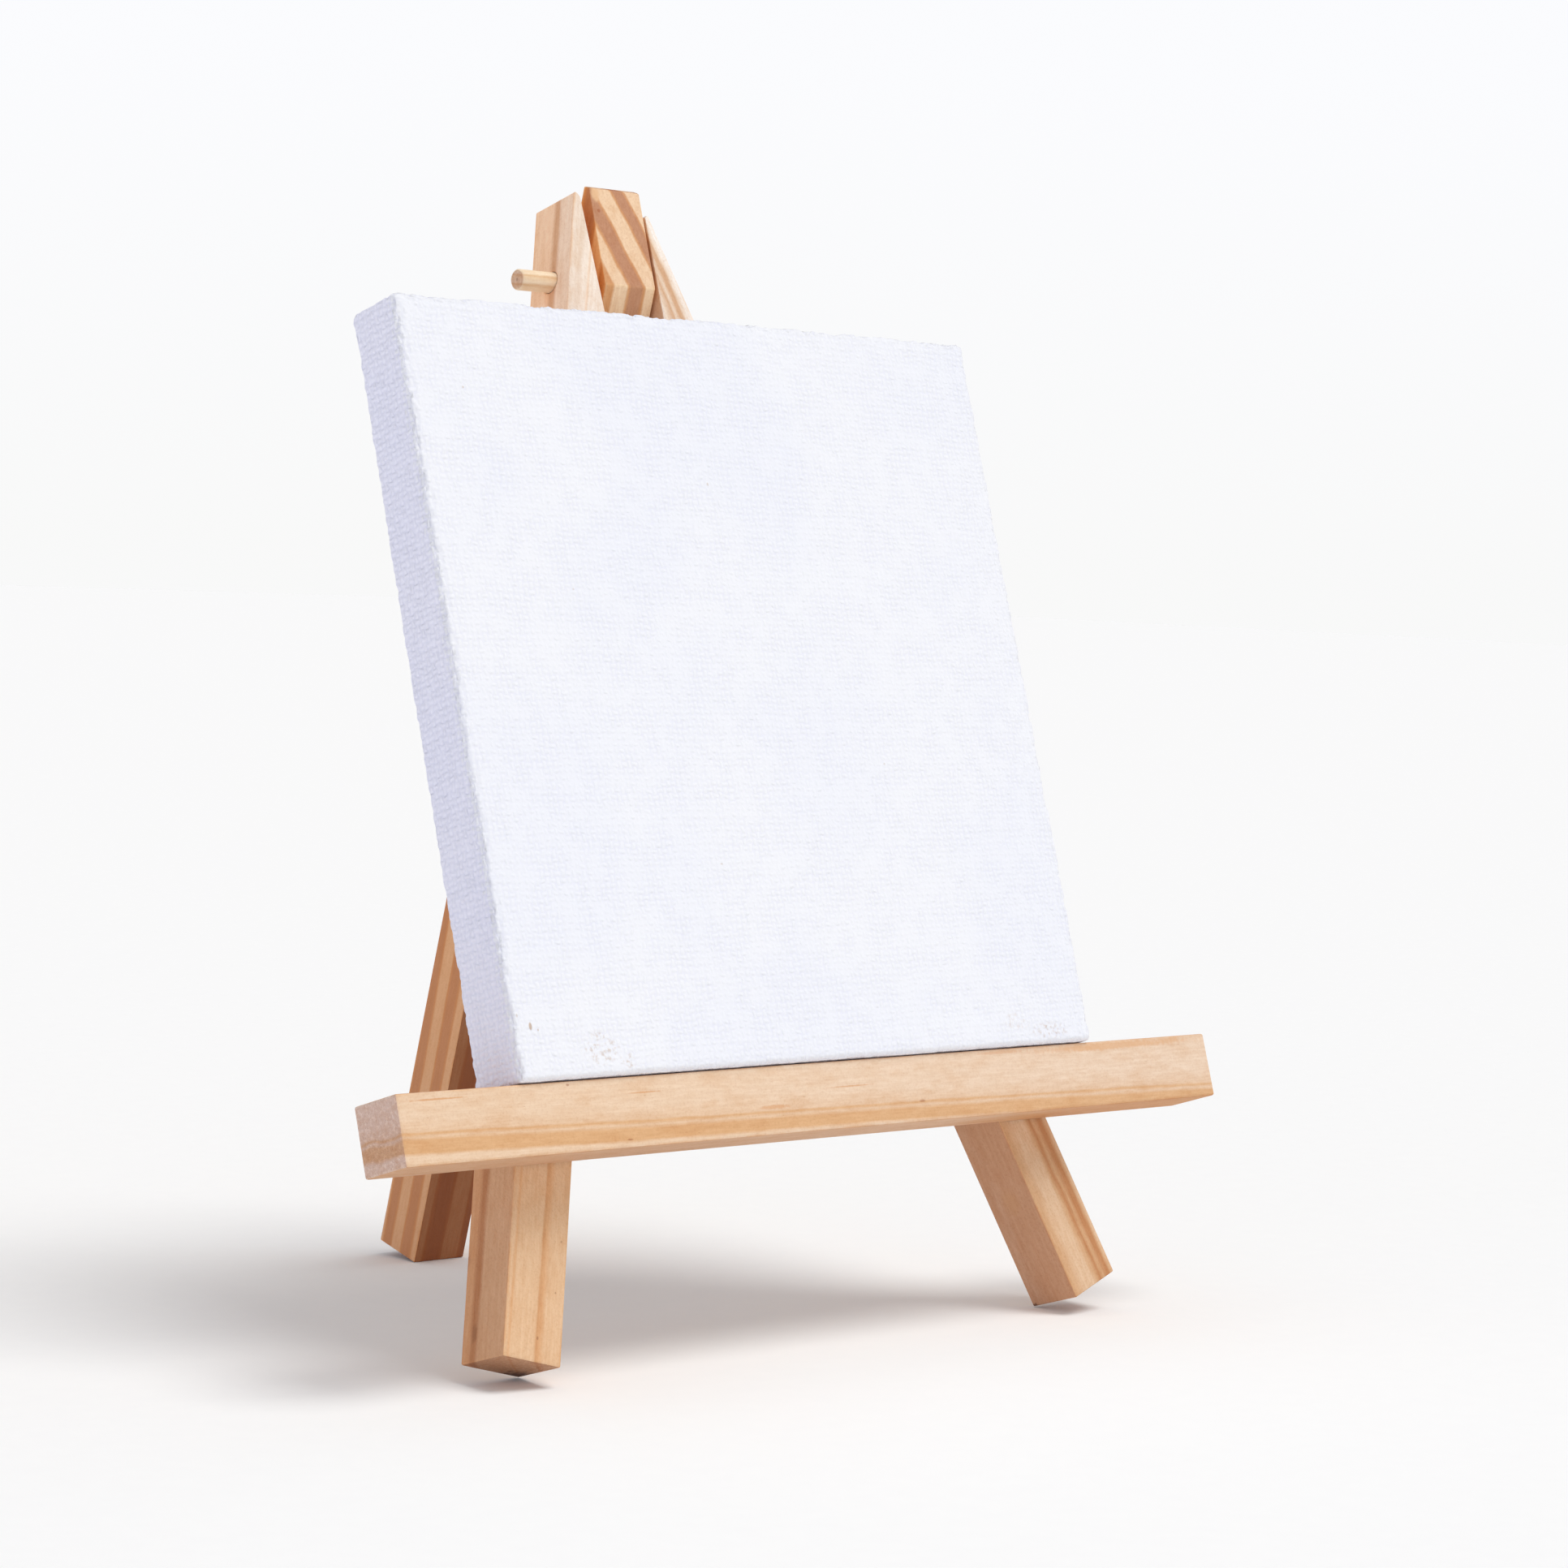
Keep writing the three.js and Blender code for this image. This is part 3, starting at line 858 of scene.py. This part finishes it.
@dataclass
class PivotDowel:
    """The round dowel through the three legs."""

    plane: EaselPlane
    left: float = -16.1 + JOINT_X
    right: float = 11.2 + JOINT_X
    radius: float = 1.425
    ease: float = 0.28
    sides: int = 72
    rows: int = 14

    def axes(self) -> Axes:
        """Axes with the origin on the dowel's middle line, along to the right."""
        return Axes(self.plane.point(0.0, JOINT_Y, -STICK_D / 2), self.plane.up, self.plane.out, RIGHT)

    def finish(self) -> PineFinish:
        """Pale yellow dowel wood with lengthwise fibres.

        Returns:
            The dowel's finish, which has no worn corners.
        """
        light, mid, tan = srgb(252, 234, 206), srgb(248, 222, 186), srgb(238, 203, 160)
        bands = bands_at((-2, light), (-0.9, mid), (-0.6, tan), (-0.3, light), (0.4, mid), (0.7, tan),
                         (1.0, light), (2, mid))
        heart = Mark((0.0, 0.0, self.left), (0.3, 0.3, 0.3), srgb(150, 100, 80), 0.5)
        return PineFinish("dowel_wood", self.axes(), bands, 0.4, 0.0, waver=0.15, half_width=9.0, half_depth=9.0,
                          end_tone=(0.90, 0.80, 0.78), speckle=0.2, marks=(heart,))

    def mesh(self) -> bpy.types.Object:
        """Builds the dowel as a fibrous round bar with eased ends.

        Returns:
            The dowel's object.
        """
        rng = np.random.default_rng(7)
        angles = np.linspace(0.0, 2 * math.pi, self.sides, endpoint=False)
        fibres = 0.012 * rng.standard_normal(self.sides) + 0.02 * np.sin(5 * angles + 1.0)
        radius, left, ease = self.radius, self.left, self.ease
        rows = [(0.0, left + 0.02, 0.0), (radius * 0.55, left, 0.0), (radius - ease, left, 0.3),
                (radius - 0.3 * ease, left + 0.3 * ease, 0.7), (radius, left + ease, 1.0)]
        middle = [(radius, x, 1.0) for x in np.linspace(left + 1.0, self.right - 1.0, self.rows)]
        ends = [(radius, self.left + self.right - x, share) for radius, x, share in reversed(rows)]
        points, rings = [], rows + middle + ends
        axes = self.axes()
        for radius, x, share in rings:
            for angle, fibre in zip(angles, fibres):
                size = max(radius + share * (fibre - 0.02), 0.0)
                points.append(axes.origin + axes.along * (x * MM) + axes.across * (size * math.cos(angle) * MM)
                              + axes.depth * (size * math.sin(angle) * MM))
        return smooth_piece("dowel", points, ring_faces(len(rings), self.sides), closed=True)

    def build(self) -> None:
        """Makes and dresses the dowel."""
        dowel = self.mesh()
        dowel.data.materials.append(self.finish().make())
        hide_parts("pivot_dowel")
        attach(dowel, "frame")
        LOG.info("dowel made")


@dataclass
class CanvasCloth:
    """The primed cloth: stretched over the bars and folded onto their backs."""

    plane: EaselPlane
    side: float = 100.0
    depth: float = 9.2
    margin: float = 8.0
    thickness: float = 0.42
    steps: int = 320
    edge_radius: float = 0.8
    back_radius: float = 0.6
    corner_radius: float = 0.7
    sag: float = 0.15
    fold_height: float = 0.35
    fold_width: float = 1.1
    fold_length: float = 5.0

    def axes(self) -> Axes:
        """Axes from the back's lower left corner: across right, depth up, along out of the front."""
        origin = self.plane.point(CANVAS_X - self.side / 2, GAP, GAP)
        return Axes(origin, RIGHT, self.plane.up, self.plane.out)

    def profile(self) -> list[tuple[float, float, float, float, float]]:
        """The wrap from the front, round the edge, down the side and onto the back.

        Returns:
            For each ring its half side, its height over the back, the outward and the upward part
            of its face's direction, and how uneven the cloth is there, in millimetres.
        """
        half, front, back = self.side / 2, self.edge_radius, self.back_radius
        rings = [(half - inset, self.depth, 0.0, 1.0, 0.02) for inset in np.linspace(3.2, front + 0.25, 8)]
        for turn in np.linspace(0.0, math.pi / 2, 8):
            out, up = math.sin(turn), math.cos(turn)
            rings.append((half - front + front * out, self.depth - front + front * up, out, up,
                          0.15 + 0.05 * out))
        rings += [(half, z, 1.0, 0.0, 0.09) for z in np.linspace(self.depth - front, back, 24)[1:-1]]
        for turn in np.linspace(0.0, math.pi / 2, 6):
            out, up = math.cos(turn), -math.sin(turn)
            rings.append((half - back + back * out, back + back * up, out, up, 0.11))
        rings += [(half - inset, 0.0, 0.0, -1.0, 0.08) for inset in (1.0, 1.6, 2.6, 3.8, 5.0, 6.2, 7.2)]
        return rings + [(half - self.margin, 0.0, 0.0, -1.0, 0.03)]

    def ring(self, half: float) -> tuple[np.ndarray, np.ndarray]:
        """Places round a square ring with rounded corners.

        Args:
            half: Half the ring's side.

        Returns:
            An array of x and y, and an array of the outward directions there.
        """
        line = np.linspace(-1.0, 1.0, self.steps + 1)[:-1] * half
        full = np.full_like(line, half)
        points = np.concatenate([np.stack(pair, 1) for pair in
                                 ((line, -full), (full, line), (-line, full), (-full, -line))])
        spill = np.maximum(np.abs(points) - (half - self.corner_radius), 0.0)
        length = np.maximum(np.linalg.norm(spill, axis=1, keepdims=True), 1e-9)
        outward = np.sign(points) * spill / length
        both = (spill > 0).all(axis=1)[:, None]
        rounded = np.sign(points) * (half - self.corner_radius) + outward * self.corner_radius
        straight = np.where(np.abs(points) >= half - 1e-9, np.sign(points), 0.0)
        return np.where(both, rounded, points), np.where(both, outward, straight)

    def unevenness(self, rings: int, step: float) -> np.ndarray:
        """Smooth lumps of thread and primer over the wrapped part of the cloth.

        Args:
            rings: How many rings the wrap has.
            step: The places' spacing, in millimetres.

        Returns:
            An array of rings by places, about -1 to 1.
        """
        rng = np.random.default_rng(21)
        total = np.zeros((rings, 4 * self.steps))
        # threads, lumps of primer and slow waves: their size across and along the wrap, and their share
        for across, along, share in ((0.40, 0.50, 0.70), (1.2, 1.6, 0.45), (3.0, 9.0, 0.30)):
            noise = np.fft.fft2(rng.standard_normal(total.shape))
            rows = np.fft.fftfreq(rings, step)[:, None] * across
            cols = np.fft.fftfreq(4 * self.steps, step)[None, :] * along
            field = np.real(np.fft.ifft2(noise * np.exp(-2 * (math.pi ** 2) * (rows ** 2 + cols ** 2) * 0.25)))
            total += share * field / field.std()
        return np.clip(total / 1.4, -1.0, 1.0)

    def place(self, points: np.ndarray) -> list[Vector]:
        """Row-frame places of points about the canvas's middle, in millimetres."""
        middle = self.side / 2 + GAP
        return [self.plane.point(CANVAS_X + x, middle + y, GAP + z) for x, y, z in points]

    def wrap(self) -> tuple[np.ndarray, list[tuple[int, ...]]]:
        """The outer band of the front, the edges, the sides and the folded margin.

        Returns:
            Points about the canvas's middle, and faces.
        """
        rings = self.profile()
        lumps = self.unevenness(len(rings), self.side / self.steps)
        rows = []
        for row, (half, z, out, up, uneven) in enumerate(rings):
            places, outward = self.ring(half)
            lift = uneven * (lumps[row] - 0.35)
            # the ledge presses the bottom edge level
            lift = np.where(outward[:, 1] < -0.7, 0.10 + 0.25 * lift, lift)
            # the cloth is gathered a little at the corners, so the folds stand proud on the back
            inset = self.side / 2 - np.abs(places)
            near, far = inset.min(axis=1), inset.max(axis=1)
            ridge = np.exp(-((far - near) / self.fold_width) ** 2) * np.exp(-near / self.fold_length)
            fold = self.fold_height * ridge * (up < -0.5)
            rows.append(np.column_stack([places + outward * (lift * out)[:, None], z + lift * up - fold]))
        return np.concatenate(rows), ring_faces(len(rows), 4 * self.steps)

    def front(self, base: int) -> tuple[np.ndarray, list[tuple[int, ...]]]:
        """The flat of the front, on a grid half as fine as the wrap's first ring.

        Args:
            base: The number of its first point.

        Returns:
            Points about the canvas's middle, and faces that share the wrap's first ring.
        """
        half, size = self.profile()[0][0], self.steps // 2
        line = np.linspace(-half, half, size + 1)
        grid_x, grid_y = np.meshgrid(line, line, indexing="ij")
        sag = self.sag * np.cos(grid_x / half * math.pi / 2) * np.cos(grid_y / half * math.pi / 2)
        number = base + np.arange((size + 1) ** 2).reshape(size + 1, size + 1)
        # the grid's rim is the wrap's first ring, every second point of it
        rim = 2 * np.arange(size)
        number[:size, 0], number[size, :size] = rim, self.steps + rim
        number[size:0:-1, size], number[0, size:0:-1] = 2 * self.steps + rim, 3 * self.steps + rim
        faces, last = [], size - 1
        for i in range(size):
            for j in range(size):
                face = []
                for turn, (corner, on_rim, step) in enumerate((
                        (number[i, j], j == 0, i), (number[i + 1, j], i == last, j),
                        (number[i + 1, j + 1], j == last, last - i), (number[i, j + 1], i == 0, last - j))):
                    face += [int(corner)] + ([turn * self.steps + 2 * step + 1] if on_rim else [])
                faces.append(tuple(face))
        return np.stack([grid_x, grid_y, self.depth - sag], -1).reshape(-1, 3), faces

    def mesh(self) -> bpy.types.Object:
        """Builds the cloth.

        Returns:
            The cloth's object.
        """
        points, faces = self.wrap()
        more_points, more_faces = self.front(len(points))
        places = self.place(np.concatenate([points, more_points]))
        return smooth_piece("canvas_sheet", places, faces + more_faces, closed=False)

    def finishes(self) -> tuple[CottonFinish, CottonFinish]:
        """The primed face and the raw back.

        Returns:
            The finishes of the cloth's outer and inner side.
        """
        flecks = tuple(Fleck(*row) for row in (
            (2.6, 6.6, 0.30, 0.62, 0.75), (3.7, 6.1, 0.18, 0.2, 0.5), (0.8, 8.0, 0.2, 0.3, 0.3),
            (13.0, 3.4, 3.6, 2.6, 0.5, True), (17.0, 1.6, 1.6, 1.2, 0.5, True),
            (92.0, 1.6, 4.5, 1.4, 0.45, True), (86.0, 3.2, 3.0, 1.6, 0.25, True),
            (47.0, 77.0, 0.22, 0.3, 0.35), (8.5, 88.0, 0.2, 0.22, 0.35), (38.0, 26.0, 0.3, 0.16, 0.3),
            (21.0, 62.0, 0.2, 0.2, 0.25), (70.0, 39.0, 0.2, 0.2, 0.3)))
        # the second colour of each is the painted shade in the weave's pits
        face = CottonFinish("primed_cotton", self.axes(), srgb(243, 244, 249), srgb(222, 223, 241), 0.65, 1.10,
                            flecks=flecks)
        back = CottonFinish("raw_cotton", self.axes(), srgb(228, 218, 196), srgb(186, 172, 146), 1.0, 1.0)
        return face, back

    def build(self) -> None:
        """Makes and dresses the cloth."""
        cloth = self.mesh()
        for finish in self.finishes():
            cloth.data.materials.append(finish.make())
        shell = cloth.modifiers.new("thickness", "SOLIDIFY")
        shell.thickness = self.thickness * MM
        shell.offset = -1.0
        shell.material_offset = 1
        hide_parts("canvas_cloth")
        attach(cloth, "canvas")
        LOG.info("canvas cloth made")


class BarPlace(Enum):
    """A stretcher bar, by how its middle lies from the canvas's middle: right and up."""

    BOTTOM = (0, -1)
    RIGHT = (1, 0)
    TOP = (0, 1)
    LEFT = (-1, 0)


@dataclass
class StretcherFrame:
    """The four mitred bars behind the cloth and the staples in them."""

    plane: EaselPlane
    middle_y: float = 50.25
    middle_z: float = 4.85
    half_side: float = 49.25
    bar_width: float = 13.0
    half_bar_depth: float = 3.85
    band_step: float = 1.7
    edge: float = 0.2

    def axes(self, place: BarPlace) -> Axes:
        """A bar's axes, along its length.

        Args:
            place: Which bar.

        Returns:
            Axes with the origin at the bar's middle.
        """
        out = self.half_side - self.bar_width / 2
        x, y = (way * out for way in place.value)
        centre = self.plane.point(CANVAS_X + x, self.middle_y + y, self.middle_z)
        if place in (BarPlace.BOTTOM, BarPlace.TOP):
            return Axes(centre, self.plane.up, self.plane.out, RIGHT)
        return Axes(centre, RIGHT, -self.plane.out, self.plane.up)

    def build(self) -> None:
        """Dresses the bars and the staples."""
        light, mid, tan = srgb(238, 215, 178), srgb(230, 200, 158), srgb(214, 176, 130)
        for number, place in enumerate(BarPlace):
            name = place.name.lower()
            bands = bands_at((-9, mid), (-6.5, light), (-4.8, light), (-4.2, tan), (-3.6, light), (-1.0, light),
                             (-0.4, tan), (0.3, mid), (2.8, light), (3.4, tan), (4.2, light), (7.5, light),
                             (8.1, tan), (12, light), shift=self.band_step * number)
            finish = PineFinish(f"bar_wood_{name}", self.axes(place), bands, 0.5, 0.01,
                                half_width=self.bar_width / 2, half_depth=self.half_bar_depth)
            ease_edges(dress(f"stretcher_bar_{name}", finish.make()), self.edge)
        steel = SteelFinish("staple_steel", (0.68, 0.68, 0.70, 1.0), 0.28).make()
        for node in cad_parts:
            if "staple" in node:
                dress(node, steel)
        LOG.info("stretcher bars and staples dressed")


@dataclass
class Studio:
    """The pale floor, the soft lights and the camera."""

    place: Triple = (-0.35688, -0.41571, 0.10135)
    right: Triple = (0.73617, -0.67562, 0.03990)
    up: Triple = (0.00795, 0.06759, 0.99768)
    lens: float = 92.66
    key_from: Triple = (0.20, -0.36, 0.91)
    key_power: float = 1.50
    key_colour: Triple = (1.0, 0.99, 0.955)
    fill_from: Triple = (-1.0, -0.15, 0.05)
    fill_power: float = 0.26
    fill_colour: Triple = (0.25, 0.33, 1.0)
    softness: float = math.radians(32.0)
    floor_half: float = 6.0
    fade: tuple[float, float] = (0.14, 0.42)
    overhead: float = 0.52
    wall_foot: float = 0.12
    foot_colour: Colour = (0.9445, 0.9455, 0.9430, 1.0)
    wall_colour: Colour = (0.965, 0.97, 0.99, 1.0)

    def camera(self) -> None:
        """Adds the camera at the front left, low, looking slightly down."""
        data = bpy.data.cameras.new("camera")
        data.lens = self.lens
        data.sensor_width = 36.0
        data.clip_start, data.clip_end = 0.01, 50.0
        right, up = Vector(self.right).normalized(), Vector(self.up).normalized()
        back = right.cross(up).normalized()
        matrix = Matrix((right, back.cross(right), back)).transposed().to_4x4()
        matrix.translation = Vector(self.place)
        camera = add_object("camera", data)
        camera.matrix_world = matrix
        bpy.context.scene.camera = camera

    def floor(self) -> None:
        """Adds the pale floor."""
        mesh = bpy.data.meshes.new("floor")
        half = self.floor_half
        mesh.from_pydata([(-half, -half, 0), (half, -half, 0), (half, half, 0), (-half, half, 0)], [],
                         [(0, 1, 2, 3)])
        bench = MaterialBench("floor_paper")
        grain = bench.noise(bench.node("TexCoord").outputs["Object"], (300.0,) * 3, 3.0)
        mesh.materials.append(bench.finished({
            "Base Color": bench.mix(grain, (0.96, 0.96, 0.965, 1), (0.985, 0.985, 0.985, 1)),
            "Roughness": 1.0, "Specular IOR Level": 0.0}))
        floor = add_object("floor", mesh)

    def lamps(self) -> None:
        """Adds the broad soft light from above the front right and a faint cool fill from the left."""
        for name, came_from, power, colour in (("skylight", self.key_from, self.key_power, self.key_colour),
                                               ("fill", self.fill_from, self.fill_power, self.fill_colour)):
            data = bpy.data.lights.new(name, "SUN")
            data.energy, data.angle, data.color = power, self.softness, colour
            lamp = add_object(name, data)
            lamp.rotation_euler = Vector(came_from).to_track_quat("Z", "Y").to_euler()

    def world(self) -> None:
        """Sets a white room that is brighter low down than overhead."""
        world = bpy.data.worlds.new("white_room")
        world.use_nodes = True
        back = world.node_tree.nodes["Background"]
        bench = NodeBench(world.node_tree)
        up = bench.node("SeparateXYZ", {0: bench.node("TexCoord").outputs["Generated"]}).outputs[2]
        bench.feed(back.inputs[1], bench.smooth(up, *self.fade, 1.0, self.overhead))
        # the foot of the wall is the colour of the floor, so no line shows where they meet
        foot = bench.node("MapRange", {0: up, 2: self.wall_foot}).outputs[0]
        bench.feed(back.inputs[0], bench.mix(foot, self.foot_colour, self.wall_colour))
        bpy.context.scene.world = world

    def build(self) -> None:
        """Sets up the whole studio."""
        self.camera()
        self.floor()
        self.world()
        self.lamps()
        view = bpy.context.scene.view_settings
        view.view_transform, view.look = "Standard", "None"
        LOG.info("studio set")


def main() -> None:
    """Builds and dresses the easel piece by piece."""
    logging.basicConfig(level=logging.INFO, format="%(name)s: %(message)s")
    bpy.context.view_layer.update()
    plane = EaselPlane(*(Vector(corner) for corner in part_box("canvas_ledge")))
    for part in (Studio(), FrontLegs(plane), RearLeg(plane), Ledge(plane), PivotDowel(plane),
                 StretcherFrame(plane), CanvasCloth(plane)):
        part.build()


if __name__ == "__main__":
    main()
